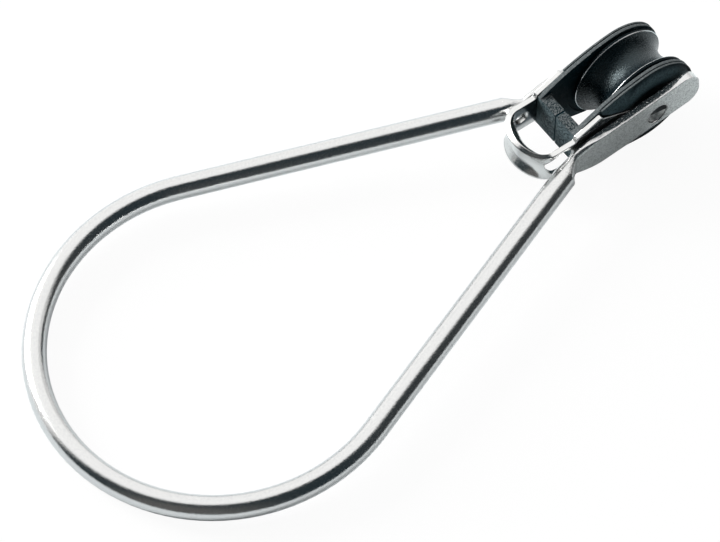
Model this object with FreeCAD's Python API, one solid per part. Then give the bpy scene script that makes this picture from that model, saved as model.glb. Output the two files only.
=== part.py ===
import FreeCAD, Part
import math
import os
from FreeCAD import Vector

# All sizes are in millimetres and all angles in degrees.
# The origin is the middle of the rivet, X runs from the ring towards the head of the block,
# Y runs along the rivet and Z stands square to the plane of the ring.

# Ring: one rod, bent to a pear shape
rod_d = 5.0
bend_r = 37.0
pin_to_bend = 102.7
pin_to_press = 24.9

# Flattened ends of the rod, called blades here
blade_t = 1.8
blade_w = 9.1
blade_reach = 10.75
blade_corner_r = 3.5
blade_edge_r = 0.15
near_blade_slope = 5.9
near_blade_rise = 0.87
far_blade_slope = 0.0
far_blade_rise = -1.4
press_length = 4.0
press_hollow = 0.15
flare_length = 6.0
bend_start_x = -6.0
bend_length = 12.0

# Rivet, spacer sleeve and washers
pin_d = 4.5
pin_clearance = 0.05
head_d = 5.2
head_depth = 1.1
head_sink = 0.2
head_dish = 0.8
head_rim_w = 0.2
sleeve_wall = 0.95
washer_t = 0.4
washer_r = 3.6

# Sheave
sheave_d = 22.0
sheave_w = 9.5
groove_w = 8.0
groove_depth = 2.3
sheave_edge_w = 0.25
running_clearance = 0.08
side_clearance = 0.5

# Cheeks and bridge
cheek_proud = 0.3
cheek_side_r = 43.0
cheek_web = 0.9
land_step = 0.12
land_overlap = 0.9
bridge_front = 19.45
bridge_t = 2.45
bridge_h = 9.4
bridge_cove_r = 0.8
parting_bevel = 0.2
bead_rise = 0.4
bead_w = 0.35
lip_rise = 0.2
lip_crown = 0.95
lip_slope_w = 3.0
recess_r = 6.5
rim_groove_w = 0.25
rim_groove_depth = 0.2
strap_gap = 0.25

# Becket strap
strap_t = 1.2
strap_h = 7.8
loop_reach = 30.1
loop_start = 24.9
loop_h = 7.0
loop_waist = 2.0
root_step_w = 0.4
shoulder_x = 13.0
shoulder_h = 15.5
shoulder_drop = 0.85
leg_root_h = 9.9
root_corner_r = 0.3
shoulder_corner_r = 0.5
foot_corner_r = 0.15
neck_fillet_r = 2.0
eye_r = 3.0
eye_x = 4.5
becket_x = 23.3
small_hole_d = 3.4
large_hole_d = 6.8
block_tilt = 1.0

# Values that follow from the sizes above
rod_r = rod_d / 2
round_share = 0.98
sheave_half = sheave_w / 2
cheek_in = sheave_half + side_clearance
land_in = cheek_in - land_step
web_out = cheek_in + cheek_web
strap_in = web_out
strap_out = strap_in + strap_t
blade_in = strap_out + washer_t
blade_out = blade_in + blade_t
cheek_r = sheave_d / 2 + cheek_proud
Z_AXIS = Vector(0, 0, 1)
Y_AXIS = Vector(0, 1, 0)
ORIGIN = Vector(0, 0, 0)

# How finely the freely curved forms follow their curve, and the gap that a fuse may close
loop_steps = 8
crown_steps = 4
fuse_slack = 0.002


def arc_through(start, middle, end):
    return Part.Arc(start, middle, end).toShape()


def rounded_wire(corners, place):
    """A closed wire of straight runs. Each corner is (u, v, radius), and place turns (u, v) into a point."""
    runs = []
    count = len(corners)
    for i in range(count):
        before = Vector(*corners[i - 1][:2], 0)
        here = Vector(*corners[i][:2], 0)
        after = Vector(*corners[(i + 1) % count][:2], 0)
        to_before = (before - here).normalize()
        to_after = (after - here).normalize()
        half = to_before.getAngle(to_after) / 2
        radius = corners[i][2]
        reach = radius / math.tan(half)
        bisector = (to_before + to_after).normalize()
        centre = here + bisector * (radius / math.sin(half))
        runs.append((here + to_before * reach, centre - bisector * radius, here + to_after * reach, radius))
    edges = []
    for i in range(count):
        enter, middle, leave, radius = runs[i]
        following = runs[(i + 1) % count][0]
        if radius > 0:
            edges.append(arc_through(*[place(p.x, p.y) for p in (enter, middle, leave)]))
        if (following - leave).Length > 1e-6:
            edges.append(Part.LineSegment(place(leave.x, leave.y), place(following.x, following.y)).toShape())
    return Part.Wire(edges)


def on_side(u, v):
    """A point of the side view: X and Z."""
    return Vector(u, 0, v)


def on_plan(u, v):
    """A point of the plan view: X and Y."""
    return Vector(u, v, 0)


def side_prism(corners, y_from, y_to):
    face = Part.Face(rounded_wire(corners, on_side))
    face.translate(Vector(0, y_from, 0))
    return face.extrude(Vector(0, y_to - y_from, 0))


def mirrored_corners(upper):
    """The upper half of a side outline, from left to right, closed by its mirror image below."""
    lower = [(u, -v, r) for u, v, r in reversed(upper)]
    return upper + lower


def disc(radius, y_from, y_to):
    return Part.makeCylinder(radius, y_to - y_from, Vector(0, y_from, 0), Y_AXIS)


def turned(corners):
    """A solid of revolution about the rivet's line. Each corner is (radius, y, corner radius)."""
    face = Part.Face(rounded_wire(corners, on_plan))
    return face.revolve(ORIGIN, Y_AXIS, 360)


def countersink(radius, depth, y_from):
    """A cone that widens to the radius over the depth and ends at y_from + depth."""
    return Part.makeCone(pin_d / 2, radius, depth, Vector(0, y_from, 0), Y_AXIS)


def near_copy(shape):
    """The mirror image on the near side, which is at negative Y."""
    return shape.mirror(ORIGIN, Y_AXIS)


def tilted(shape):
    """The block sits a little askew on the rivet, with its bridge end raised."""
    moved = shape.copy()
    moved.rotate(ORIGIN, Y_AXIS, block_tilt)
    return moved


# Ring

def arm_angle():
    """Angle between an arm and the X axis. The arm touches the round end, and its inner side comes to the
    blade's inner face where the pressing starts."""
    ahead = pin_to_bend - pin_to_press
    return math.asin((bend_r - rod_r) / math.hypot(ahead, blade_in)) - math.atan2(blade_in, ahead)


def arm_line():
    """Where the far arm leaves the round end, and the direction it runs in."""
    angle = arm_angle()
    start = Vector(-pin_to_bend + bend_r * math.sin(angle), bend_r * math.cos(angle), 0)
    return start, Vector(math.cos(angle), -math.sin(angle), 0)


def round_end():
    start, along = arm_line()
    centre = Vector(-pin_to_bend, 0, 0)
    section = Part.Face(Part.Wire(Part.Circle(start, along, rod_r).toShape()))
    return section.revolve(centre, Z_AXIS, 180 + 2 * math.degrees(arm_angle()))


def rod_section(centre, across, half_t, half_h, corner_r):
    """A rounded oblong across the rod, with the same eight edges for every size."""
    def place(u, v):
        return centre + across * u + Z_AXIS * v
    corners = [(half_t, -half_h), (half_t, half_h), (-half_t, half_h), (-half_t, -half_h)]
    return rounded_wire([(u, v, corner_r) for u, v in corners], place)


def blade_middle(x, slope, rise):
    """Height of the blade's middle line, which runs at the slope and eases to level towards the rod."""
    past = min(max(bend_start_x - x, 0), bend_length)
    eased = past ** 2 / (2 * bend_length)
    beyond = max(bend_start_x - bend_length - x, 0)
    return rise + (x + eased + beyond) * math.tan(math.radians(slope))


def press_station(x, inner, outer, middle, half_h, corner_r):
    centre = Vector(x, (inner + outer) / 2, middle)
    return rod_section(centre, Y_AXIS, (outer - inner) / 2, half_h, corner_r)


def pressed_shoulder(end, across, slope, rise):
    """Sections from the round rod to the start of the flat, each (length share, outer bulge, drift, growth)."""
    stages = ((0.46, 0.5, 0.15, 0.06), (0.75, 0.18, 0.55, 0.2), (1.0, 0.0, 1.0, 0.42))
    outer_reach = end.y + rod_r / math.cos(arm_angle()) - blade_out
    root_middle = blade_middle(end.x + press_length, slope, rise)
    sections = [rod_section(end, across, rod_r, rod_r, rod_r * round_share)]
    for share, bulge, drift, growth in stages:
        inner = blade_in + press_hollow * (1 - share)
        outer = blade_out + outer_reach * bulge
        half_h = rod_r + (blade_w / 2 - rod_r) * growth
        corner_r = min((outer - inner) / 2, half_h) * round_share
        x = end.x + press_length * share
        sections.append(press_station(x, inner, outer, root_middle * drift, half_h, corner_r))
    return sections


def flare_sections(flat_x, slope, rise):
    """Sections over which the flat widens to the full blade, each (length share, growth, roundness of edge)."""
    stages = ((0.3, 0.72, 0.8), (0.62, 0.92, 0.45), (1.0, 1.0, 0.0))
    sections = []
    for share, growth, roundness in stages:
        x = flat_x + flare_length * share
        half_h = rod_r + (blade_w / 2 - rod_r) * growth
        corner_r = blade_edge_r + (blade_t / 2 - blade_edge_r) * roundness
        sections.append(press_station(x, blade_in, blade_out, blade_middle(x, slope, rise), half_h, corner_r))
    return sections


def arm(slope, rise):
    """Straight rod, the shoulder that is pressed from round to flat, the flare and the blade, on the far side."""
    start, along = arm_line()
    angle = arm_angle()
    press_y = blade_in + rod_r / math.cos(angle)
    length = (start.y - press_y) / math.sin(angle)
    end = start + along * length
    straight = Part.makeCylinder(rod_r, length, start, along)
    across = Vector(math.sin(angle), math.cos(angle), 0)
    flat_x = end.x + press_length
    shoulder = pressed_shoulder(end, across, slope, rise)
    pressed = Part.makeLoft(shoulder, True, False)
    widening = flare_sections(flat_x, slope, rise)
    wide_x = flat_x + flare_length
    half = blade_w / 2
    for share in (1 / 3, 2 / 3, 1.0):
        x = wide_x + (bend_start_x - wide_x) * share
        widening.append(press_station(x, blade_in, blade_out, blade_middle(x, slope, rise), half, blade_edge_r))
    flared = Part.makeLoft([shoulder[-1]] + widening, True, False)
    return straight, pressed, flared, blade(slope, rise)


def blade(slope, rise):
    """The flat, drilled end, with its two tip corners rounded."""
    angle = math.radians(slope)
    blade_half = blade_w / 2
    middle = blade_middle(bend_start_x, slope, rise)
    root = press_station(bend_start_x, blade_in, blade_out, middle, blade_half, blade_edge_r)
    run = blade_reach + blade_w - bend_start_x
    bar = Part.Face(root).extrude(Vector(run, 0, run * math.tan(angle)))
    half = blade_half * math.cos(angle)
    far = blade_reach + 2 * blade_w
    beyond = [(blade_reach, -blade_w, 0), (blade_reach, blade_w, 0), (far, blade_w, 0), (far, -blade_w, 0)]
    trims = [side_prism(beyond, 0, 2 * blade_out)]
    for side in (1, -1):
        inner_u = blade_reach - blade_corner_r
        inner_v = side * (half - blade_corner_r)
        corner = [(inner_u, inner_v, 0), (inner_u, side * blade_w, 0), (far, side * blade_w, 0), (far, inner_v, 0)]
        nose = Part.makeCylinder(blade_corner_r, 2 * blade_out, Vector(inner_u, 0, inner_v), Y_AXIS)
        trims.append(side_prism(corner, 0, 2 * blade_out).cut(nose))
    for trim in trims:
        trim.rotate(ORIGIN, Y_AXIS, -slope)
        trim.translate(Vector(0, 0, rise))
        bar = bar.cut(trim)
    bar = bar.cut(disc(pin_d / 2 + pin_clearance, 0, 2 * blade_out))
    bar = bar.cut(countersink(head_d / 2, head_depth, blade_out - head_depth))
    return bar


def make_ring():
    pieces = list(arm(far_blade_slope, far_blade_rise))
    pieces += [near_copy(piece) for piece in arm(near_blade_slope, near_blade_rise)]
    ring = round_end().multiFuse(pieces, fuse_slack)
    return ring.removeSplitter()


# Rivet, sleeve and sheave

def make_rivet():
    """A plain shank with a dished head closed into the countersink of each blade, a little below its face."""
    top = blade_out - head_sink
    rim_r = head_d / 2 - (head_d - pin_d) / 2 * head_sink / head_depth
    neck = blade_out - head_depth
    dish_r = rim_r - head_rim_w
    ball_r = (dish_r ** 2 + head_dish ** 2) / (2 * head_dish)
    shank_r = pin_d / 2
    rivet = turned([(0, -top, 0), (rim_r, -top, 0), (shank_r, -neck, 0), (shank_r, neck, 0), (rim_r, top, 0),
                    (0, top, 0)])
    ball_y = top - head_dish + ball_r
    for side in (1, -1):
        rivet = rivet.cut(Part.makeSphere(ball_r, Vector(0, side * ball_y, 0)))
    return rivet


def make_sleeve():
    bore = pin_d / 2 + pin_clearance
    wall = bore + sleeve_wall
    return turned([(bore, -cheek_in, 0), (wall, -cheek_in, 0), (wall, cheek_in, 0), (bore, cheek_in, 0)])


def make_washer():
    """A thin washer between the strap's eye and the blade."""
    bore = pin_d / 2 + pin_clearance
    return turned([(bore, strap_out, 0), (bore, blade_in, 0), (washer_r, blade_in, 0), (washer_r, strap_out, 0)])


def make_sheave():
    """A wheel with a deep round groove, turning on the sleeve."""
    bore = pin_d / 2 + pin_clearance + sleeve_wall + running_clearance
    rim = sheave_d / 2
    groove_half = groove_w / 2
    groove_r = (groove_half ** 2 + groove_depth ** 2) / (2 * groove_depth)
    bevel_y = sheave_half - sheave_edge_w
    bevel_r = rim - sheave_edge_w
    body = turned([
        (bore, -sheave_half, 0), (bevel_r, -sheave_half, 0), (rim, -bevel_y, 0), (rim, bevel_y, 0),
        (bevel_r, sheave_half, 0), (bore, sheave_half, 0),
    ])
    centre = rim - groove_depth + groove_r
    arc = arc_through(
        Vector(rim, -groove_half, 0), Vector(centre - groove_r, 0, 0), Vector(rim, groove_half, 0)
    )
    outside = centre + groove_r
    around = Part.makePolygon([
        Vector(rim, groove_half, 0), Vector(outside, groove_half, 0), Vector(outside, -groove_half, 0),
        Vector(rim, -groove_half, 0),
    ])
    section = Part.Face(Part.Wire([arc] + around.Edges))
    return body.cut(section.revolve(ORIGIN, Y_AXIS, 360))


# Becket strap

def eye_corners(grow):
    """The upper outline of a leg ahead of its shoulder, down to the eye round the rivet, grown outwards."""
    end = eye_r + grow
    return [
        (-shoulder_x + grow, shoulder_h / 2 - shoulder_drop + grow, foot_corner_r),
        (-eye_x, end, neck_fillet_r),
        (end, end, end * round_share),
    ]


def make_leg():
    """One flat leg, from the start of the loop, over the step at the bridge, to the eye."""
    root_x = -bridge_front
    upper = [
        (-loop_start, strap_h / 2, 0),
        (root_x - root_step_w, strap_h / 2, root_corner_r),
        (root_x, leg_root_h / 2, root_corner_r),
        (-shoulder_x, shoulder_h / 2, shoulder_corner_r),
    ]
    return side_prism(mirrored_corners(upper + eye_corners(0)), strap_in, strap_out)


def loop_section(turn, waist):
    """The strap cut square to its run, at an angle round the loop. Both faces curve in towards the middle."""
    reach = loop_reach - loop_start
    point = Vector(-loop_start - reach * math.cos(turn), strap_out * math.sin(turn), 0)
    outwards = Vector(-math.cos(turn) / reach, math.sin(turn) / strap_out, 0).normalize()
    half_h = (strap_h + (loop_h - strap_h) * waist) / 2
    pull = outwards * (2 * loop_waist * waist)
    edges = []
    for depth, top in ((0, half_h), (strap_t, -half_h)):
        middle = point - outwards * depth
        curve = Part.BezierCurve()
        curve.setPoles([middle - Z_AXIS * top, middle - pull, middle + Z_AXIS * top])
        edges.append(curve.toShape())
    over = Part.LineSegment(edges[0].Vertexes[-1].Point, edges[1].Vertexes[0].Point).toShape()
    under = Part.LineSegment(edges[1].Vertexes[-1].Point, edges[0].Vertexes[0].Point).toShape()
    return Part.Wire([edges[0], over, edges[1], under])


def make_loop():
    """The loop, flat where it leaves the legs and waisted like a saddle at its end, so that a rope lies soft."""
    sections = []
    for i in range(loop_steps + 1):
        turn = math.pi * (i / loop_steps - 0.5)
        waist = math.sin(math.pi / 2 * math.cos(turn)) ** 2
        sections.append(loop_section(turn, waist))
    return Part.makeLoft(sections, True, False)


def make_strap():
    leg = make_leg()
    strap = make_loop().fuse([leg, near_copy(leg)])
    at_becket = Vector(-becket_x, 0, 0)
    small = Part.makeCylinder(small_hole_d / 2, 2 * strap_out, at_becket, Y_AXIS)
    large = Part.makeCylinder(large_hole_d / 2, 2 * strap_out, at_becket, -Y_AXIS)
    pin_hole = disc(pin_d / 2 + pin_clearance, -2 * strap_out, 2 * strap_out)
    strap = strap.cut(small).cut(large).cut(pin_hole)
    return tilted(strap)


# Cheeks

def cheek_side():
    """The bowed side of a cheek is an arc from the bridge's corner that runs into the round of the head.
    Gives the direction in which they meet, seen from the rivet, and the arc's centre."""
    inner_reach = cheek_side_r - cheek_r
    corner = Vector(-bridge_front, 0, bridge_h / 2)
    along = (cheek_side_r ** 2 - inner_reach ** 2 - corner.Length ** 2) / (2 * inner_reach)
    angle = math.atan2(corner.z, corner.x) - math.acos(along / corner.Length)
    meeting = Vector(math.cos(angle), 0, math.sin(angle))
    return meeting, meeting * -inner_reach


def cheek_wire(inset, y):
    """Outline of a cheek, drawn in by the inset all round: round head, two bowed sides and the bridge's end."""
    meeting, centre = cheek_side()
    head_r = cheek_r - inset
    side_r = cheek_side_r - inset
    front = -bridge_front + inset
    corner = Vector(front, 0, centre.z + math.sqrt(side_r ** 2 - (front - centre.x) ** 2))
    touch = meeting * head_r
    bow = centre + (touch + corner - centre * 2).normalize() * side_r
    low_corner, low_bow, low_touch = [Vector(p.x, 0, -p.z) for p in (corner, bow, touch)]
    wire = Part.Wire([
        arc_through(corner, bow, touch),
        arc_through(touch, Vector(head_r, 0, 0), low_touch),
        arc_through(low_touch, low_bow, low_corner),
        Part.LineSegment(low_corner, corner).toShape(),
    ])
    wire.translate(Vector(0, y, 0))
    return wire


def cheek_slab(inset, y_from, y_to):
    return Part.Face(cheek_wire(inset, y_from)).extrude(Vector(0, y_to - y_from, 0))


def bridge_half():
    """Half of the bridge, with its edges at the parting line bevelled and a cove against the cheek."""
    back = -bridge_front + bridge_t
    half = bridge_h / 2
    block = Part.makeBox(bridge_t, web_out, bridge_h, Vector(-bridge_front, 0, -half))
    parting_edges = [edge for edge in block.Edges if edge.BoundBox.YMax < web_out / 2]
    block = block.makeChamfer(parting_bevel, parting_edges)
    cove = Part.makeBox(bridge_cove_r, bridge_cove_r, bridge_h, Vector(back, land_in - bridge_cove_r, -half))
    hollow = Part.makeCylinder(
        bridge_cove_r, bridge_h, Vector(back + bridge_cove_r, land_in - bridge_cove_r, -half), Z_AXIS
    )
    return block.fuse(cove.cut(hollow))


def strap_recess(y_from, y_to):
    """Room for the strap's leg: all that is behind its shoulder and, ahead of it, the leg with a gap round it."""
    behind = [(-2 * bridge_front, cheek_r, 0), (-shoulder_x + strap_gap, cheek_r, 0)]
    return side_prism(mirrored_corners(behind + eye_corners(strap_gap)), y_from, y_to)


def rim_lip():
    """A fine bead along the edge of the cheek and, inside it, a broad crowned band that the strap is let into."""
    bead_top = web_out + bead_rise
    bead = cheek_slab(0, web_out, bead_top).cut(cheek_slab(bead_w, web_out, bead_top))
    levels = [cheek_wire(bead_w, web_out)]
    for i in range(crown_steps + 1):
        share = i / crown_steps
        rise = lip_rise + (lip_crown - lip_rise) * (1 - (1 - share) ** 2)
        levels.append(cheek_wire(bead_w + lip_slope_w * share, web_out + rise))
    crown = Part.makeLoft(levels, True, True)
    top = web_out + 2 * lip_crown
    crown = crown.cut(disc(recess_r, web_out, top))
    return bead.fuse(crown).cut(strap_recess(web_out, top))


def rim_groove():
    """A fine groove round the edge of the cheek, ahead of the strap."""
    groove_from = (cheek_in + web_out + bead_rise) / 2
    groove_to = groove_from + rim_groove_w
    band = cheek_slab(-cheek_r, groove_from, groove_to).cut(cheek_slab(rim_groove_depth, groove_from, groove_to))
    ahead = Part.makeBox(4 * cheek_r, 4 * cheek_r, 4 * cheek_r, Vector(-shoulder_x, -cheek_r, -2 * cheek_r))
    return band.common(ahead)


def make_cheek():
    web = cheek_slab(0, land_in, web_out)
    web = web.cut(disc(cheek_r + land_overlap, 0, cheek_in))
    cheek = web.fuse([bridge_half(), rim_lip()])
    cheek = cheek.cut(rim_groove())
    cheek = cheek.cut(disc(pin_d / 2 + pin_clearance, 0, 2 * web_out))
    return tilted(cheek.removeSplitter())


def write(name, shape):
    solids = shape.Solids
    if len(solids) != 1 or not shape.isValid():
        raise RuntimeError(f"{name}: {len(solids)} solids, valid {shape.isValid()}")
    solids[0].exportStep(f"parts/{name}.step")
    box = solids[0].BoundBox
    print(f"{name}: volume {solids[0].Volume:.1f}, x {box.XMin:.2f} to {box.XMax:.2f},"
          f" y {box.YMin:.2f} to {box.YMax:.2f}, z {box.ZMin:.2f} to {box.ZMax:.2f}")


os.makedirs("parts", exist_ok=True)
write("ring", make_ring())
write("becket_strap", make_strap())
far_cheek = make_cheek()
write("cheek_far", far_cheek)
write("cheek_near", near_copy(far_cheek))
write("sheave", make_sheave())
write("spacer_sleeve", make_sleeve())
write("rivet", make_rivet())
far_washer = make_washer()
write("washer_far", far_washer)
write("washer_near", near_copy(far_washer))
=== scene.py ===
from math import asin, radians

import bmesh
import bpy
from mathutils import Matrix, Vector


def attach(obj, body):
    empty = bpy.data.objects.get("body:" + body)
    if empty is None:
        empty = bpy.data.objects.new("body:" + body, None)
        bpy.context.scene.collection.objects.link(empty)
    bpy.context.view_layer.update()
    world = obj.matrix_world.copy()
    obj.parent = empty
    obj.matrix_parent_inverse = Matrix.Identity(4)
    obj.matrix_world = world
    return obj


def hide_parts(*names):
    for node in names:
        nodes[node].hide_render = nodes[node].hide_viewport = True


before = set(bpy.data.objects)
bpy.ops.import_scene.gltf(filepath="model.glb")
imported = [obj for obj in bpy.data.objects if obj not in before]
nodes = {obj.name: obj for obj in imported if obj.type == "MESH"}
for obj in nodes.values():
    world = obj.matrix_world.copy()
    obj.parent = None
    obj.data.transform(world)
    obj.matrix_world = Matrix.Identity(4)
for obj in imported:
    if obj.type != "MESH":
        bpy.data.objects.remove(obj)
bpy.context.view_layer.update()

MM = 0.001
ring_and_block = "ring_and_block"


# ---------------------------------------------------------------- camera
# The camera looks down on the ring from the side of its near arm, from so
# far that the arms hardly draw together. Its rows are right, down and ahead.

CAMERA_PLACE = Vector((-225.84, -251.03, 491.44)) * MM
CAMERA_RIGHT = Vector((0.815094, -0.578282, -0.034799))
CAMERA_DOWN = Vector((-0.512333, -0.691493, -0.509265))
CAMERA_AHEAD = Vector((0.270436, 0.432928, -0.859906))
LENS_MM = 142.36
FILM_MM = 36.0
NEAR_CLIP, FAR_CLIP = 0.05, 20.0

camera_data = bpy.data.cameras.new("camera")
camera_data.sensor_fit = "HORIZONTAL"
camera_data.sensor_width = FILM_MM
camera_data.lens = LENS_MM
camera_data.clip_start = NEAR_CLIP
camera_data.clip_end = FAR_CLIP
camera = bpy.data.objects.new("camera", camera_data)
bpy.context.scene.collection.objects.link(camera)
bpy.context.scene.camera = camera
camera_turn = Matrix((CAMERA_RIGHT, -CAMERA_DOWN, -CAMERA_AHEAD)).transposed()
camera.matrix_world = Matrix.Translation(CAMERA_PLACE) @ camera_turn.to_4x4()
bpy.context.scene.view_settings.view_transform = "Standard"


# ----------------------------------------------------------------- floor
# A sheet of white paper under the ring. The ring lies on the lower rims of
# the block's cheeks and on the underside of its far bend, a little tilted.

CHEEK_RADIUS = 11.3 * MM
ROD_RADIUS = 2.5 * MM
BEND_END = 139.7 * MM
FLOOR_SIZE = 4.0
WHITE = (1, 1, 1, 1)
PAPER_BOUNCE = (0.50, 0.53, 0.545, 1)
PAPER_MIRRORED = (0.90, 0.95, 0.97, 1)
GLOW_SEEN = 0.94
GLOW_MIRRORED = 0.06


def link_piece(mesh_maker, name, smooth=False):
    """A new object in the scene from a bmesh, which is freed."""
    mesh = bpy.data.meshes.new(name)
    mesh_maker.to_mesh(mesh)
    mesh_maker.free()
    for face in mesh.polygons:
        face.use_smooth = smooth
    piece = bpy.data.objects.new(name, mesh)
    bpy.context.scene.collection.objects.link(piece)
    return piece


def new_finish(name):
    """A new material, and its empty node tree."""
    finish = bpy.data.materials.new(name)
    finish.use_nodes = True
    finish.node_tree.nodes.clear()
    return finish, finish.node_tree


def feed(tree, node, values):
    """Gives a node's inputs their values, by word or number, and links sockets."""
    for key, value in values.items():
        socket = node.inputs[key.replace("_", " ") if isinstance(key, str) else key]
        if isinstance(value, bpy.types.NodeSocket):
            tree.links.new(value, socket)
        else:
            socket.default_value = value


def put(tree, kind, **values):
    """A new node in the tree, with its inputs fed."""
    node = tree.nodes.new(kind)
    feed(tree, node, values)
    return node


def calculate(tree, operation, *values):
    """A Math node's output."""
    node = put(tree, "ShaderNodeMath")
    node.operation = operation
    feed(tree, node, dict(enumerate(values)))
    return node.outputs[0]


def blend(tree, share, first, second):
    """A colour that goes from the first to the second as the share goes to 1."""
    return put(tree, "ShaderNodeMixRGB", Fac=share, Color1=first, Color2=second).outputs[0]


floor_tilt = asin((CHEEK_RADIUS - ROD_RADIUS) / BEND_END)
tilted = Matrix.Rotation(floor_tilt, 3, "Y")
floor_up = tilted @ Vector((0, 0, 1))
floor_mesh = bmesh.new()
bmesh.ops.create_grid(floor_mesh, x_segments=1, y_segments=1, size=FLOOR_SIZE / 2)
bmesh.ops.rotate(floor_mesh, verts=floor_mesh.verts, cent=(0, 0, 0), matrix=tilted)
bmesh.ops.translate(floor_mesh, verts=floor_mesh.verts, vec=-CHEEK_RADIUS * floor_up)
floor = link_piece(floor_mesh, "floor")

paper, tree = new_finish("white_paper")
path = put(tree, "ShaderNodeLightPath").outputs
mirrored = calculate(tree, "ADD", path["Is Glossy Ray"], path["Is Transmission Ray"])
sheet_colour = blend(tree, mirrored, PAPER_BOUNCE, PAPER_MIRRORED)
sheet_colour = blend(tree, path["Is Camera Ray"], sheet_colour, WHITE)
lit = put(tree, "ShaderNodeBsdfDiffuse", Color=sheet_colour)
glow = put(tree, "ShaderNodeEmission", Color=WHITE, Strength=1.0)
glow_share = calculate(
    tree, "ADD",
    calculate(tree, "MULTIPLY", path["Is Camera Ray"], GLOW_SEEN),
    calculate(tree, "MULTIPLY", mirrored, GLOW_MIRRORED),
)
sheet = put(tree, "ShaderNodeMixShader")
feed(tree, sheet, {0: glow_share, 1: lit.outputs[0], 2: glow.outputs[0]})
put(tree, "ShaderNodeOutputMaterial", Surface=sheet.outputs[0])
floor.data.materials.append(paper)


# ---------------------------------------------------------------- lights
# A white studio with large soft boxes overhead and behind, and a small one at
# the left. A dark tent on the camera's side draws the dark line on the rods,
# and a dark strip goes on from it low at the right.

ROOM_LIGHT = 0.8
SOFT_BOXES = {
    "overhead_box": dict(place=(0.15, 0.55, 1.25), width=2.6, height=1.5, watts=5.2),
    "back_box": dict(place=(0.5, 1.7, 0.35), width=3.2, height=1.6, watts=6.4),
    "left_box": dict(place=(-0.66, 1.20, 0.58), width=0.6, height=0.8, watts=34.0),
}
TENT_RADIUS = 1.6
TENT_FACES = Vector((-0.437, -1.0, -0.044)).normalized()
TENT_SHIFT = -0.06
TENT_FOOT = -0.12
TENT_STEPS = 64
TENT_SHADE = (0.030, 0.044, 0.052, 1)
TENT_LEFT = (0.145, 0.145, 0.143, 1)
TENT_RIGHT = (0.064, 0.068, 0.070, 1)
TENT_FRONT = (0.0, -0.2)
TENT_SIDES = (((-0.15, -0.6), TENT_LEFT), ((0.2, 0.8), TENT_RIGHT))
STRIP_RADIUS = 0.98 * TENT_RADIUS
STRIP_FROM, STRIP_TO = radians(-40), radians(6)
STRIP_TOP = 0.58
STRIP_STEPS = 8


def ramp(tree, value, start, stop, low=0.0, high=1.0):
    """A value that goes from low to high as the given one goes from start to stop."""
    return put(
        tree, "ShaderNodeMapRange", Value=value,
        From_Min=start, From_Max=stop, To_Min=low, To_Max=high,
    ).outputs[0]


def parts(tree, vector_socket):
    """The X, Y and Z of a vector, as sockets by those names."""
    return put(tree, "ShaderNodeSeparateXYZ", Vector=vector_socket).outputs


world = bpy.data.worlds.new("studio")
world.use_nodes = True
tree = world.node_tree
tree.nodes.clear()
path = put(tree, "ShaderNodeLightPath").outputs
mirrored = calculate(tree, "ADD", path["Is Glossy Ray"], path["Is Transmission Ray"])
seen = calculate(tree, "ADD", path["Is Camera Ray"], mirrored)
strength = ramp(tree, seen, 0.0, 1.0, ROOM_LIGHT, 1.0)
room = put(tree, "ShaderNodeBackground", Color=WHITE, Strength=strength)
put(tree, "ShaderNodeOutputWorld", Surface=room.outputs[0])
bpy.context.scene.world = world

for name, box in SOFT_BOXES.items():
    lamp_data = bpy.data.lights.new(name, "AREA")
    lamp_data.shape = "RECTANGLE"
    lamp_data.size = box["width"]
    lamp_data.size_y = box["height"]
    lamp_data.energy = box["watts"]
    lamp = bpy.data.objects.new(name, lamp_data)
    bpy.context.scene.collection.objects.link(lamp)
    lamp.location = box["place"]
    lamp.rotation_euler = (-Vector(box["place"])).to_track_quat("-Z", "Y").to_euler()
    lamp.visible_camera = False

tent_mesh = bmesh.new()
bmesh.ops.create_uvsphere(
    tent_mesh, u_segments=TENT_STEPS, v_segments=TENT_STEPS // 2, radius=TENT_RADIUS
)
for plane_point, plane_normal in (
    (TENT_FACES * TENT_SHIFT * TENT_RADIUS, TENT_FACES),
    (Vector((0, 0, TENT_FOOT)), Vector((0, 0, 1))),
):
    bmesh.ops.bisect_plane(
        tent_mesh, geom=tent_mesh.verts[:] + tent_mesh.edges[:] + tent_mesh.faces[:],
        plane_co=plane_point, plane_no=plane_normal, clear_inner=True,
    )
tent = link_piece(tent_mesh, "dark_tent", smooth=True)

strip_mesh = bmesh.new()
foot = strip_mesh.verts.new((STRIP_RADIUS, 0, TENT_FOOT))
head = strip_mesh.verts.new((STRIP_RADIUS, 0, STRIP_TOP))
side = strip_mesh.edges.new((foot, head))
bmesh.ops.rotate(
    strip_mesh, verts=strip_mesh.verts, cent=(0, 0, 0), matrix=Matrix.Rotation(STRIP_FROM, 3, "Z")
)
bmesh.ops.spin(
    strip_mesh, geom=[foot, head, side], cent=(0, 0, 0), axis=(0, 0, 1),
    angle=STRIP_TO - STRIP_FROM, steps=STRIP_STEPS,
)
strip = link_piece(strip_mesh, "dark_strip")

dark_felt, tree = new_finish("dark_felt")
spot = parts(tree, put(tree, "ShaderNodeTexCoord").outputs["Object"])
in_front = ramp(tree, spot["Y"], *(part * TENT_RADIUS for part in TENT_FRONT))
shade = TENT_SHADE
for reach, side_shade in TENT_SIDES:
    aside = ramp(tree, spot["X"], *(part * TENT_RADIUS for part in reach))
    shade = blend(tree, calculate(tree, "MULTIPLY", aside, in_front), shade, side_shade)
felt = put(tree, "ShaderNodeEmission", Color=shade, Strength=1.0)
put(tree, "ShaderNodeOutputMaterial", Surface=felt.outputs[0])
for cloth in (tent, strip):
    cloth.data.materials.append(dark_felt)
    cloth.visible_camera = False
    cloth.visible_shadow = False


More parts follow.
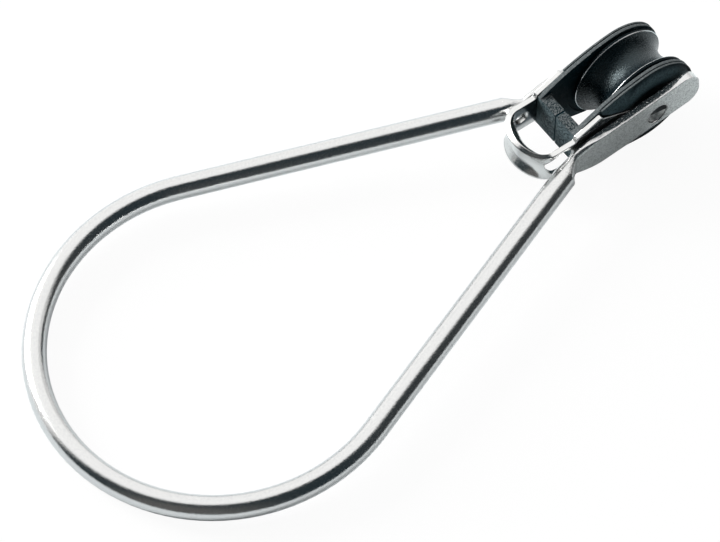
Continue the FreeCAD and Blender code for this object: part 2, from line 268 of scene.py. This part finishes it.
# ---------------------------------------------------------------- sheave
# The sheave is a wheel turned from black acetal, with a deep round groove. It
# runs on the steel sleeve. The lips of its groove get a bright metallic finish,
# a painted highlight for the lit line along them.

SHEAVE_RADIUS = 11.0 * MM
SHEAVE_HALF = 4.75 * MM
GROOVE_HALF = 4.0 * MM
GROOVE_DEPTH = 2.3 * MM
BORE_RADIUS = 3.33 * MM
NEAR_LIP_BEVEL, FAR_LIP_BEVEL = 0.06 * MM, 0.11 * MM
OUTER_BEVEL = 0.25 * MM
GROOVE_STEPS = 28
SHEAVE_STEPS = 144
BEVEL_STEPS = 3
SHARP = radians(25)
MERGE_WITHIN = 0.001 * MM
TOUCHING = 0.01 * MM
FLAT_FACE = 0.999
STEEP_FACE = 0.5

SHEAVE_BLACK = (0.001, 0.004, 0.006, 1)
SHEAVE_GREY = (0.006, 0.012, 0.015, 1)
SHEAVE_LIP_HIGHLIGHT = (0.75, 0.76, 0.76, 1)
TEAL_SHEEN = (0.78, 0.96, 1.0, 1)
ACETAL_SPECKS = (0.44, 0.62)
PLASTIC_GRAINS = 2800.0
PLASTIC_ARRIS = 0.2 * MM
GRAIN_SPREAD = (0.3, 0.7)
GRAIN_DETAIL, GRAIN_FADE = 3.0, 0.6
EDGE_SAMPLES = 8
EDGE_TURN = (1.0, 0.8)


def new_group(name, inputs, outputs):
    """A new shader node group, with its input and output nodes."""
    group = bpy.data.node_groups.new(name, "ShaderNodeTree")
    for in_out, sockets in (("INPUT", inputs), ("OUTPUT", outputs)):
        for word, kind in sockets.items():
            group.interface.new_socket(word, in_out=in_out, socket_type="NodeSocket" + kind)
    return group, put(group, "NodeGroupInput").outputs, put(group, "NodeGroupOutput")


def put_group(tree, group, **values):
    """A group's outputs in the tree, with its inputs fed."""
    node = put(tree, "ShaderNodeGroup")
    node.node_tree = group
    feed(tree, node, values)
    return node.outputs


def vector(tree, operation, *values):
    """A Vector Math node's output."""
    node = put(tree, "ShaderNodeVectorMath")
    node.operation = operation
    feed(tree, node, dict(enumerate(values)))
    return node.outputs["Value" if operation == "DOT_PRODUCT" else "Vector"]


def fine_grain_group():
    """Fine grain in Object coordinates: a mask and a bumped normal."""
    group, given, result = new_group(
        "fine_grain",
        {"Grains per Metre": "Float", "Depth": "Float", "Normal": "Vector"},
        {"Grain": "Float", "Normal": "Vector"},
    )
    noise = put(
        group, "ShaderNodeTexNoise",
        Vector=put(group, "ShaderNodeTexCoord").outputs["Object"],
        Scale=given["Grains per Metre"], Detail=GRAIN_DETAIL, Roughness=GRAIN_FADE,
    ).outputs[0]
    bump = put(
        group, "ShaderNodeBump", Height=noise, Strength=1.0,
        Distance=given["Depth"], Normal=given["Normal"],
    )
    feed(group, result, {"Grain": noise, "Normal": bump.outputs[0]})
    return group


def rounded_edge_group():
    """The normal of edges rounded to a small radius, and a mask of them."""
    group, given, result = new_group(
        "rounded_edge", {"Radius": "Float"}, {"Edge": "Float", "Normal": "Vector"}
    )
    bevel = put(group, "ShaderNodeBevel", Radius=given["Radius"])
    bevel.samples = EDGE_SAMPLES
    plain = put(group, "ShaderNodeNewGeometry").outputs["Normal"]
    along = vector(group, "DOT_PRODUCT", bevel.outputs[0], plain)
    edge = ramp(group, along, *EDGE_TURN)
    feed(group, result, {"Edge": edge, "Normal": bevel.outputs[0]})
    return group


fine_grain = fine_grain_group()
rounded_edge = rounded_edge_group()


def black_plastic(name, dark, light, rough, depth, shine, metal=0.0):
    """Black plastic with a fine grain of dark and light specks; with metal set, a bright painted
    highlight instead.
    """
    finish, tree = new_finish(name)
    edge = put_group(tree, rounded_edge, Radius=PLASTIC_ARRIS)
    grain = put_group(
        tree, fine_grain, Grains_per_Metre=PLASTIC_GRAINS, Depth=depth, Normal=edge["Normal"]
    )
    colour = dark
    if light != dark:
        colour = blend(tree, ramp(tree, grain["Grain"], *ACETAL_SPECKS), dark, light)
    skin = put(
        tree, "ShaderNodeBsdfPrincipled", Base_Color=colour, Metallic=metal,
        Roughness=ramp(tree, grain["Grain"], *GRAIN_SPREAD, *rough),
        Specular_IOR_Level=shine, Specular_Tint=TEAL_SHEEN, Normal=grain["Normal"],
    )
    put(tree, "ShaderNodeOutputMaterial", Surface=skin.outputs[0])
    return finish


def turn_round(section, steps):
    """Turns a section in the plane of Y and Z into a closed body round the pin."""
    bmesh.ops.spin(
        section, geom=section.verts[:] + section.edges[:], cent=(0, 0, 0), axis=(0, 1, 0),
        angle=radians(360), steps=steps, use_merge=True,
    )
    bmesh.ops.remove_doubles(section, verts=section.verts, dist=MERGE_WITHIN)
    bmesh.ops.recalc_face_normals(section, faces=section.faces)


def round_off(body, radius, slot, chosen):
    """Rounds the sharp edges whose two ends are chosen. The bevel gets the slot."""
    edges = [
        edge for edge in body.edges
        if edge.calc_face_angle(0) > SHARP and all(chosen(vert.co) for vert in edge.verts)
    ]
    bmesh.ops.bevel(
        body, geom=edges, offset=radius, segments=BEVEL_STEPS, profile=0.5, affect="EDGES",
        clamp_overlap=True, material=slot,
    )


profile = bmesh.new()
arc_radius = (GROOVE_HALF**2 + GROOVE_DEPTH**2) / (2 * GROOVE_DEPTH)
arc_centre = (0, 0, SHEAVE_RADIUS - GROOVE_DEPTH + arc_radius)
lip = profile.verts.new((0, -GROOVE_HALF, SHEAVE_RADIUS))
swept = bmesh.ops.spin(
    profile, geom=[lip], cent=arc_centre, axis=(1, 0, 0),
    angle=2 * asin(GROOVE_HALF / arc_radius), steps=GROOVE_STEPS,
)
other_lip = swept["geom_last"][0]
corners = [
    profile.verts.new((0, along, out))
    for along, out in (
        (SHEAVE_HALF, SHEAVE_RADIUS),
        (SHEAVE_HALF, BORE_RADIUS),
        (-SHEAVE_HALF, BORE_RADIUS),
        (-SHEAVE_HALF, SHEAVE_RADIUS),
    )
]
outline = [other_lip, *corners, lip]
for start, stop in zip(outline, outline[1:]):
    profile.edges.new((start, stop))
turn_round(profile, SHEAVE_STEPS)
TURNED, LIP_HIGHLIGHT, MATT = 0, 1, 2
# The lips' bevels take the slot of the painted highlight, a bright metallic finish.
for rim, radius, slot in (
    (-GROOVE_HALF, NEAR_LIP_BEVEL, LIP_HIGHLIGHT),
    (GROOVE_HALF, FAR_LIP_BEVEL, LIP_HIGHLIGHT),
    (-SHEAVE_HALF, OUTER_BEVEL, MATT),
    (SHEAVE_HALF, OUTER_BEVEL, MATT),
):
    round_off(
        profile, radius, slot,
        lambda spot: abs(spot.y - rim) < TOUCHING and spot.length > SHEAVE_RADIUS,
    )
turned_sheave = link_piece(profile, "turned_sheave", smooth=True)
for finish in (
    black_plastic(
        "black_acetal", SHEAVE_BLACK, SHEAVE_GREY, rough=(0.20, 0.34), depth=0.11 * MM, shine=0.44
    ),
    black_plastic(
        "lip_highlight_acetal", SHEAVE_LIP_HIGHLIGHT, SHEAVE_LIP_HIGHLIGHT, rough=(0.27, 0.32), depth=0.01 * MM, shine=0.5,
        metal=1.0,
    ),
    black_plastic(
        "matt_acetal", SHEAVE_BLACK, SHEAVE_BLACK, rough=(0.50, 0.60), depth=0.02 * MM, shine=0.08
    ),
):
    turned_sheave.data.materials.append(finish)
for face in turned_sheave.data.polygons:
    face.use_smooth = abs(face.normal.y) < FLAT_FACE
    on_land = abs(face.center.y) > GROOVE_HALF and face.normal.y**2 < STEEP_FACE
    if on_land and face.material_index == TURNED:
        face.material_index = MATT
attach(turned_sheave, "sheave")
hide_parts("sheave")


# ---------------------------------------------------------------- cheeks
# Two cheeks of black glass-filled nylon hold the sheave between them and meet
# in a bridge behind it. They are moulded, with a fine spark-eroded texture. Their
# colour carries painted light and shade: lighter on top and on faces looking back,
# a painted teal sheen on the outer crown, and a plain painted shade on the inner faces.

CHEEK_BLACK = (0.001, 0.010, 0.015, 1)
CHEEK_SIDE = (0.050, 0.068, 0.074, 1)
CHEEK_TOP_LIT = (0.165, 0.180, 0.182, 1)
CHEEK_BACK_LIT = (0.115, 0.155, 0.165, 1)
CHEEK_INSIDE_SHADE = (0.009, 0.034, 0.044, 1)
CROWN_PAINTED_SHEEN = (0.085, 0.132, 0.146, 1)
FACING_UP, FACING_BACK = (0.3, 0.8), (-0.6, -0.9)
FACING_OUT, FACING_IN = (0.5, 0.8), (-0.4, -0.7)
PLATE_START = (4.4 * MM, 4.9 * MM)
PLATE_SPECKS = 0.55
CROWN_FOOT, CROWN_RIM = (6.4 * MM, 8.2 * MM), (10.8 * MM, 9.6 * MM)
ARM_START = (-4.0 * MM, -7.0 * MM)
NYLON_SPECKS = (0.42, 0.60)
CROWN_SPECKS = (0.40, 0.60, 0.45, 1.2)
NYLON_ROUGH = (0.48, 0.64)
NYLON_SHINE = 0.10
NYLON_DEPTH = 0.12 * MM


def facing_out(tree, spot, facing):
    """How far a face looks away from the block's middle plane, from -1 to 1."""
    return calculate(tree, "MULTIPLY", facing["Y"], calculate(tree, "SIGN", spot["Y"]))


def moulded_nylon():
    """Grained black nylon with painted light: lighter on top and looking back, a painted sheen
    band on the outer crown, and a plain painted shade on its inner faces.
    """
    finish, tree = new_finish("black_nylon")
    place = put(tree, "ShaderNodeTexCoord").outputs
    spot, facing = parts(tree, place["Object"]), parts(tree, place["Normal"])
    outward = facing_out(tree, spot, facing)
    level = vector(tree, "MULTIPLY", place["Object"], (1, 0, 1))
    from_pin = calculate(tree, "SQRT", vector(tree, "DOT_PRODUCT", level, level))
    edge = put_group(tree, rounded_edge, Radius=PLASTIC_ARRIS)
    grain = put_group(
        tree, fine_grain, Grains_per_Metre=PLASTIC_GRAINS, Depth=NYLON_DEPTH,
        Normal=edge["Normal"],
    )
    # Painted light: lighter on faces looking up and on faces looking back, where the light falls.
    colour = CHEEK_SIDE
    for share, layer in (
        (ramp(tree, facing["Z"], *FACING_UP), CHEEK_TOP_LIT),
        (ramp(tree, facing["X"], *FACING_BACK), CHEEK_BACK_LIT),
    ):
        colour = blend(tree, share, colour, layer)
    aside = calculate(tree, "ABSOLUTE", spot["Y"])
    speck = calculate(
        tree, "MAXIMUM",
        ramp(tree, grain["Grain"], *NYLON_SPECKS),
        ramp(tree, aside, *PLATE_START, 0.0, PLATE_SPECKS),
    )
    colour = blend(tree, speck, CHEEK_BLACK, colour)
    # Painted sheen on the outer crown: a teal band that fades to black toward the pin, the rim
    # and the arm.
    sheen_end = calculate(
        tree, "MAXIMUM",
        ramp(tree, from_pin, *CROWN_RIM),
        ramp(tree, spot["X"], *ARM_START),
    )
    sheen_start = calculate(
        tree, "MULTIPLY",
        ramp(tree, from_pin, *CROWN_FOOT),
        ramp(tree, grain["Grain"], *CROWN_SPECKS),
    )
    sheen_band = calculate(tree, "MULTIPLY", sheen_start, sheen_end)
    # Outward faces get the painted crown sheen; inward faces get a plain dark teal, painted for
    # the shade between the cheeks.
    for share, layer in (
        (ramp(tree, outward, *FACING_OUT), blend(tree, sheen_band, CHEEK_BLACK, CROWN_PAINTED_SHEEN)),
        (ramp(tree, outward, *FACING_IN), CHEEK_INSIDE_SHADE),
    ):
        colour = blend(tree, share, colour, layer)
    skin = put(
        tree, "ShaderNodeBsdfPrincipled", Base_Color=colour,
        Roughness=ramp(tree, grain["Grain"], *GRAIN_SPREAD, *NYLON_ROUGH),
        Specular_IOR_Level=NYLON_SHINE, Specular_Tint=TEAL_SHEEN, Normal=grain["Normal"],
    )
    put(tree, "ShaderNodeOutputMaterial", Surface=skin.outputs[0])
    return finish


def dress(name, finish):
    """Gives all the slots of a CAD node one finish."""
    slots = nodes[name].data.materials
    for index in range(len(slots)):
        slots[index] = finish


black_nylon = moulded_nylon()
dress("cheek_far", black_nylon)
dress("cheek_near", black_nylon)


# ---------------------------------------------------- sleeve and becket strap
# The sleeve is a tube of stainless steel on the rivet, inside the sheave. The
# strap is one blank of bright sheet, pierced and bent round behind the bridge.

STEEL = (0.62, 0.62, 0.61, 1)
STEEL_GRAINS = 3200.0
STEEL_SPECKS = (0.35, 0.65)
DULLER = 0.88
STRAP_PAINTED_SHADE = (0.09, 0.11, 0.12, 1)
STRAP_ROUGH = (0.12, 0.22)
STRAP_DEPTH = 0.01 * MM
STRAP_ARRIS = 0.3 * MM
STRAP_INNER_FACE = (-0.4, -0.8)
STRAP_SHADE_FOOT = (-2.4 * MM, -1.5 * MM)
LOOP_START = (-24.5 * MM, -27.0 * MM)
LOOP_CENTRE = Vector((-23.3, 0, 0)) * MM
LOOP_TOP_EDGE = (0.6, 0.9)
ROLL = 0.60


def bright_steel(name, colour, rough, depth, arris):
    """Steel with fine grain and rounded arrises."""
    finish, tree = new_finish(name)
    edge = put_group(tree, rounded_edge, Radius=arris)
    grain = put_group(
        tree, fine_grain, Grains_per_Metre=STEEL_GRAINS, Depth=depth, Normal=edge["Normal"]
    )
    duller = [DULLER * part for part in colour[:3]] + [1]
    skin = put(
        tree, "ShaderNodeBsdfPrincipled", Metallic=1.0, Normal=grain["Normal"],
        Base_Color=blend(tree, ramp(tree, grain["Grain"], *STEEL_SPECKS), duller, colour),
        Roughness=ramp(tree, grain["Grain"], *GRAIN_SPREAD, *rough),
    )
    put(tree, "ShaderNodeOutputMaterial", Surface=skin.outputs[0])
    return finish


def strap_steel():
    """Bright sheet whose sheared top edge is rolled outwards round the loop, with painted shade
    on its inner faces.
    """
    finish, tree = new_finish("strap_steel")
    place = put(tree, "ShaderNodeTexCoord").outputs
    spot, facing = parts(tree, place["Object"]), parts(tree, place["Normal"])
    edge = put_group(tree, rounded_edge, Radius=STRAP_ARRIS)
    rolled = calculate(
        tree, "MULTIPLY",
        ramp(tree, spot["X"], *LOOP_START),
        ramp(tree, facing["Z"], *LOOP_TOP_EDGE, 0.0, ROLL),
    )
    from_centre = vector(tree, "SUBTRACT", place["Object"], LOOP_CENTRE)
    level = vector(tree, "MULTIPLY", from_centre, (1, 1, 0))
    lean = vector(tree, "MULTIPLY", vector(tree, "NORMALIZE", level), rolled)
    in_world = put(tree, "ShaderNodeVectorTransform", Vector=lean)
    in_world.convert_from, in_world.convert_to = "OBJECT", "WORLD"
    leaned = vector(tree, "ADD", edge["Normal"], in_world.outputs[0])
    grain = put_group(
        tree, fine_grain, Grains_per_Metre=STEEL_GRAINS, Depth=STRAP_DEPTH,
        Normal=vector(tree, "NORMALIZE", leaned),
    )
    # Painted shade: the strap's inner faces are darker above a line near their foot, for the
    # shaded floor inside the loop that they mirror.
    painted_shade = calculate(
        tree, "MULTIPLY",
        ramp(tree, facing_out(tree, spot, facing), *STRAP_INNER_FACE),
        ramp(tree, spot["Z"], *STRAP_SHADE_FOOT),
    )
    skin = put(
        tree, "ShaderNodeBsdfPrincipled", Metallic=1.0, Normal=grain["Normal"],
        Base_Color=blend(tree, painted_shade, STEEL, STRAP_PAINTED_SHADE),
        Roughness=ramp(tree, grain["Grain"], *GRAIN_SPREAD, *STRAP_ROUGH),
    )
    put(tree, "ShaderNodeOutputMaterial", Surface=skin.outputs[0])
    return finish


turned_steel = bright_steel(
    "turned_steel", STEEL, rough=(0.2, 0.3), depth=0.01 * MM, arris=0.1 * MM
)
dress("spacer_sleeve", turned_steel)
dress("becket_strap", strap_steel())


# ------------------------------------------------------------------ ring
# The ring is one rod of stainless steel, bent round and polished bright. Its
# ends are pressed flat into satin blades that the rivet clamps outside the
# straps. The blades are sheared to shape, so their narrow faces are torn.

PRESS_LINE = -23.0 * MM
PRESS_FADE = 1.0 * MM
PRESSED_WIDTH = 1.6 * MM
BLADE_OUT = 9.55 * MM
BLADE_MIDDLE = -10.0 * MM
BLADE_TIP = 10.0 * MM
BLADE_THICKNESS = 1.8 * MM
TIP_FADE = 4.0 * MM
BLADE_ROOT_REFLECTION, BLADE_MIDDLE_REFLECTION, BLADE_TIP_REFLECTION = 0.36, 0.60, 0.90
SATIN_TINT = (0.97, 1.0, 0.98, 1)
SATIN_BLACK = (0, 0, 0, 1)
SATIN_DULLED = (0.40, 0.56, 0.62, 1.0)
NARROW_FACE = (0.75, 0.9)
BURNISHED_WIDTH = 0.4 * MM
TIP_WEDGE_START = 3.0 * MM
ROOT_WEDGE = (-11.0 * MM, -19.0 * MM)
ROOT_WEDGE_WIDTH = 1.4 * MM
TORN_FADE = 0.1 * MM
TORN_SHADE = (0.05, 0.065, 0.07, 1)
TORN_GLINTS = (0.60, 0.64)
RING_DEPTH, TORN_DEPTH = 0.03 * MM, 0.12 * MM
RING_ARRIS = 0.2 * MM
ROD_ROUGH, SATIN_ROUGH = (0.12, 0.22), (0.30, 0.46)
ROD_SPECKS = (0.36, 0.60)
ROD_SPECK = (0.56, 0.56, 0.56, 1)


def ring_steel():
    """Bright rod, satin blades with a painted reflection, and dark torn faces along the blades'
    edges.
    """
    finish, tree = new_finish("ring_steel")
    place = put(tree, "ShaderNodeTexCoord").outputs
    spot, facing = parts(tree, place["Object"]), parts(tree, place["Normal"])
    blade = ramp(tree, spot["X"], PRESS_LINE, PRESS_LINE + PRESS_FADE)
    up = calculate(tree, "ABSOLUTE", facing["Z"])
    narrow = calculate(tree, "MULTIPLY", ramp(tree, up, *NARROW_FACE), blade)
    flat = calculate(tree, "SUBTRACT", blade, narrow)

    # The shear burnishes a strip beside the outer face, wider at tip and root.
    aside = calculate(tree, "ABSOLUTE", spot["Y"])
    inward = calculate(tree, "SUBTRACT", BLADE_OUT, aside)
    burnished = calculate(
        tree, "MAXIMUM",
        ramp(tree, spot["X"], TIP_WEDGE_START, BLADE_TIP, BURNISHED_WIDTH, BLADE_THICKNESS),
        ramp(tree, spot["X"], *ROOT_WEDGE, BURNISHED_WIDTH, ROOT_WEDGE_WIDTH),
    )
    past_strip = calculate(tree, "SUBTRACT", inward, burnished)
    torn = calculate(tree, "MULTIPLY", narrow, ramp(tree, past_strip, 0.0, TORN_FADE))

    # The press bruises the rod across the line where the blade begins.
    from_press = calculate(tree, "ABSOLUTE", calculate(tree, "SUBTRACT", spot["X"], PRESS_LINE))
    rugged = calculate(tree, "MAXIMUM", torn, ramp(tree, from_press, PRESSED_WIDTH, 0.0))
    edge = put_group(tree, rounded_edge, Radius=RING_ARRIS)
    grain = put_group(
        tree, fine_grain, Grains_per_Metre=STEEL_GRAINS, Normal=edge["Normal"],
        Depth=ramp(tree, rugged, 0.0, 1.0, RING_DEPTH, TORN_DEPTH),
    )

    # Painted reflection: the satin face is darker toward its root and lighter past the rivet
    # toward its tip, for the shaded floor it mirrors near the block.
    shade = calculate(
        tree, "MAXIMUM",
        ramp(tree, spot["X"], PRESS_LINE, BLADE_MIDDLE, BLADE_ROOT_REFLECTION, BLADE_MIDDLE_REFLECTION),
        ramp(tree, spot["X"], -TIP_FADE, TIP_FADE, BLADE_MIDDLE_REFLECTION, BLADE_TIP_REFLECTION),
    )
    shade = calculate(tree, "MULTIPLY", shade, ramp(tree, grain["Grain"], *SATIN_DULLED))
    colour = blend(tree, ramp(tree, grain["Grain"], *ROD_SPECKS), ROD_SPECK, STEEL)
    for share, layer in (
        (flat, blend(tree, shade, SATIN_BLACK, SATIN_TINT)),
        (torn, blend(tree, ramp(tree, grain["Grain"], *TORN_GLINTS), TORN_SHADE, STEEL)),
        (edge["Edge"], STEEL),
    ):
        colour = blend(tree, share, colour, layer)
    rough = put(
        tree, "ShaderNodeMix", Factor=flat,
        A=ramp(tree, grain["Grain"], *GRAIN_SPREAD, *ROD_ROUGH),
        B=ramp(tree, grain["Grain"], *GRAIN_SPREAD, *SATIN_ROUGH),
    )
    skin = put(
        tree, "ShaderNodeBsdfPrincipled", Base_Color=colour, Metallic=1.0,
        Roughness=rough.outputs[0], Normal=grain["Normal"],
    )
    put(tree, "ShaderNodeOutputMaterial", Surface=skin.outputs[0])
    return finish


dress("ring", ring_steel())


# ------------------------------------------------------- washers and rivet
# Thin stainless washers lie between blade and strap. The rivet's heads are set
# by a punch, which leaves a mottled hollow inside a narrow rim. A painted
# shadow darkens each hollow under its upper rim.

PIN_RADIUS = 2.25 * MM
HEAD_RADIUS = 2.53 * MM
HEAD_FACE = 9.35 * MM
HEAD_BACK = 8.45 * MM
HOLLOW_FLOOR = 8.2 * MM
HOLLOW_MOUTH, HOLLOW_FOOT = 2.33 * MM, 1.9 * MM
RIM_BEVEL = 0.05 * MM
RIM_INSET = 0.03 * MM
KEEP_SLOT = -1
RIVET_STEPS = 64
RIM_STEEL = (0.13, 0.125, 0.12, 1)
HOLLOW_SHADOW = (0.02, 0.025, 0.028, 1)
HOLLOW_DULL, HOLLOW_LIGHT = (0.66, 0.65, 0.63, 1), (0.98, 0.98, 0.95, 1)
HOLLOW_GRAINS = 1500.0
HOLLOW_SPECKS = (0.42, 0.58)
HOLLOW_METAL, HOLLOW_ROUGH = 0.25, 0.42
SHADE_LEAN, SHADE_SINK = 0.26, 1.84
SHADE_EDGE = (0.35 * MM, 0.55 * MM)


def hollow_mottle_and_shadow():
    """The mottled hollow that the punch leaves, with a painted shadow under its upper rim."""
    finish, tree = new_finish("hollow_mottle_and_shadow")
    spot = parts(tree, put(tree, "ShaderNodeTexCoord").outputs["Object"])
    sunk = calculate(tree, "SUBTRACT", HEAD_FACE, calculate(tree, "ABSOLUTE", spot["Y"]))
    # Painted shadow: above a slanting line the hollow is dark, as shaded by its upper rim.
    height = calculate(
        tree, "ADD",
        calculate(tree, "ADD", spot["Z"], calculate(tree, "MULTIPLY", spot["X"], SHADE_LEAN)),
        calculate(tree, "MULTIPLY", sunk, SHADE_SINK),
    )
    grain = put_group(tree, fine_grain, Grains_per_Metre=HOLLOW_GRAINS)
    mottle = ramp(tree, grain["Grain"], *HOLLOW_SPECKS)
    colour = blend(tree, mottle, HOLLOW_DULL, HOLLOW_LIGHT)
    colour = blend(tree, ramp(tree, height, *SHADE_EDGE), colour, HOLLOW_SHADOW)
    skin = put(
        tree, "ShaderNodeBsdfPrincipled", Base_Color=colour, Metallic=HOLLOW_METAL,
        Roughness=HOLLOW_ROUGH,
    )
    put(tree, "ShaderNodeOutputMaterial", Surface=skin.outputs[0])
    return finish


dress("washer_far", turned_steel)
dress("washer_near", turned_steel)

section = bmesh.new()
half = (
    (0.0, HOLLOW_FLOOR),
    (HOLLOW_FOOT, HOLLOW_FLOOR),
    (HOLLOW_MOUTH, HEAD_FACE),
    (HEAD_RADIUS, HEAD_FACE),
    (PIN_RADIUS, HEAD_BACK),
)
chain = [section.verts.new((0, along, out)) for out, along in half]
chain += [section.verts.new((0, -along, out)) for out, along in reversed(half)]
for start, stop in zip(chain, chain[1:]):
    section.edges.new((start, stop))
turn_round(section, RIVET_STEPS)
round_off(section, RIM_BEVEL, KEEP_SLOT, lambda spot: abs(spot.y) > HEAD_FACE - TOUCHING)
set_rivet = link_piece(section, "set_rivet", smooth=True)
set_rivet.data.materials.append(
    bright_steel("punched_steel", RIM_STEEL, rough=(0.30, 0.45), depth=0.04 * MM, arris=0.1 * MM)
)
set_rivet.data.materials.append(hollow_mottle_and_shadow())
for face in set_rivet.data.polygons:
    face.use_smooth = abs(face.normal.y) < FLAT_FACE
    from_axis = Vector((face.center.x, 0, face.center.z)).length
    in_mouth = from_axis < HOLLOW_MOUTH - RIM_INSET
    past_floor = abs(face.center.y) > HOLLOW_FLOOR - TOUCHING
    on_cone = from_axis > PIN_RADIUS and face.normal.y * face.center.y < 0
    if in_mouth and past_floor and not on_cone:
        face.material_index = 1
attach(set_rivet, ring_and_block)
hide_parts("rivet")
